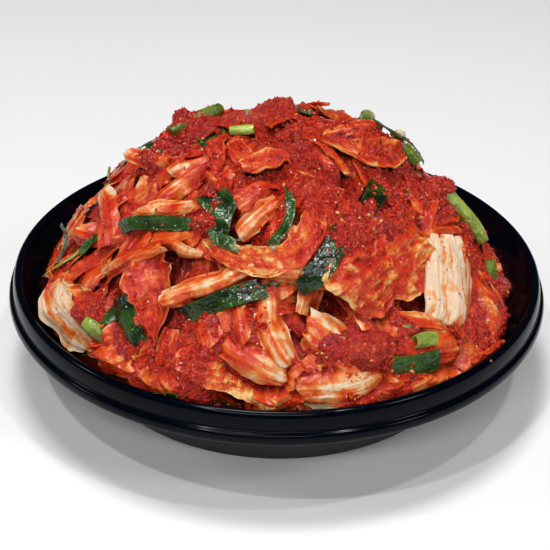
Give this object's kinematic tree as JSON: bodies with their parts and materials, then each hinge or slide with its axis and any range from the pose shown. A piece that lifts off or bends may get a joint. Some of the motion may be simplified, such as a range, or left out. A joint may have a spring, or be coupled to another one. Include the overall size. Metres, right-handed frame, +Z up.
{
  "type": "kimchi in a bowl",
  "caption": "Cut cabbage kimchi with chilli paste and spring onions, heaped high in a round black bowl with a turned-down rim.",
  "frame": {"origin": "centre of the bowl's flat foot, on the surface it stands on", "axes": "+Z up along the bowl's axis; -Y towards the front of the heap, as the picture shows it; +X to its right"},
  "size_m": [0.28, 0.28, 0.1366],
  "materials": {
    "bowl_black": "smooth near-black gloss, dull charcoal under the rim",
    "chilli_paste": "wet, grainy red chilli paste",
    "cabbage_stem": "wet, cream to orange, stained red in patches",
    "cabbage_leaf": "wet, crumpled, orange-yellow with red stains",
    "onion_leaf": "wet, dark green, speckled with chilli",
    "onion_stalk": "wet, bright yellow-green"
  },
  "bodies": {
    "root": {"bowl": "bowl_black", "kimchi_heap": "chilli_paste", "slab_rim_front": "cabbage_stem", "slab_low_right": "cabbage_stem", "stem_white_left": "cabbage_stem", "slab_front_middle": "cabbage_stem", "stem_ribbed_front": "cabbage_stem", "stem_front_left": "cabbage_stem", "stem_front_short": "cabbage_stem", "stem_front_forked": "cabbage_stem", "leaf_pointed_left": "cabbage_leaf", "stem_long_front": "cabbage_stem", "leaf_frilly_right": "cabbage_leaf", "slab_white_right": "cabbage_stem", "stem_left_upper": "cabbage_stem", "stem_left_lower": "cabbage_stem", "stem_left_middle": "cabbage_stem", "leaf_cream_curled": "cabbage_leaf", "stem_short_top": "cabbage_stem", "leaf_orange_top": "cabbage_leaf", "stem_top_right": "cabbage_stem", "stem_jutting_left": "cabbage_stem", "leaf_green_folded_top": "onion_leaf", "scallion_top_left": "onion_stalk", "leaf_green_middle": "onion_leaf", "leaf_green_narrow_left": "onion_leaf", "chive_middle": "onion_leaf", "leaf_green_small_middle": "onion_leaf", "leaf_green_large": "onion_leaf", "leaf_green_front": "onion_leaf", "leaf_green_two_faced": "onion_leaf", "scallion_low_left": "onion_stalk", "scallion_right": "onion_stalk", "scallion_yellow_top": "onion_stalk", "scallion_top_right": "onion_stalk", "leaf_green_loop_top_right": "onion_leaf", "stem_white_top_right": "cabbage_stem", "leaf_flecked_right": "onion_leaf", "leaf_green_low_right": "onion_leaf", "leaf_green_standing_left": "onion_leaf", "chive_left": "onion_leaf", "scallion_right_wall": "onion_stalk", "scallion_bit_right": "onion_stalk", "chunk_red_top": "chilli_paste", "paste_clump_top": "chilli_paste", "paste_clump_right": "chilli_paste", "paste_clump_low_right": "chilli_paste", "slab_back": "cabbage_stem", "stem_back_left": "cabbage_stem", "stem_back_long": "cabbage_stem", "leaf_back_right": "cabbage_leaf", "stem_back_low": "cabbage_stem", "leaf_green_back": "onion_leaf", "leaf_green_back_left": "onion_leaf", "scallion_back": "onion_stalk"}
  },
  "joints": []
}
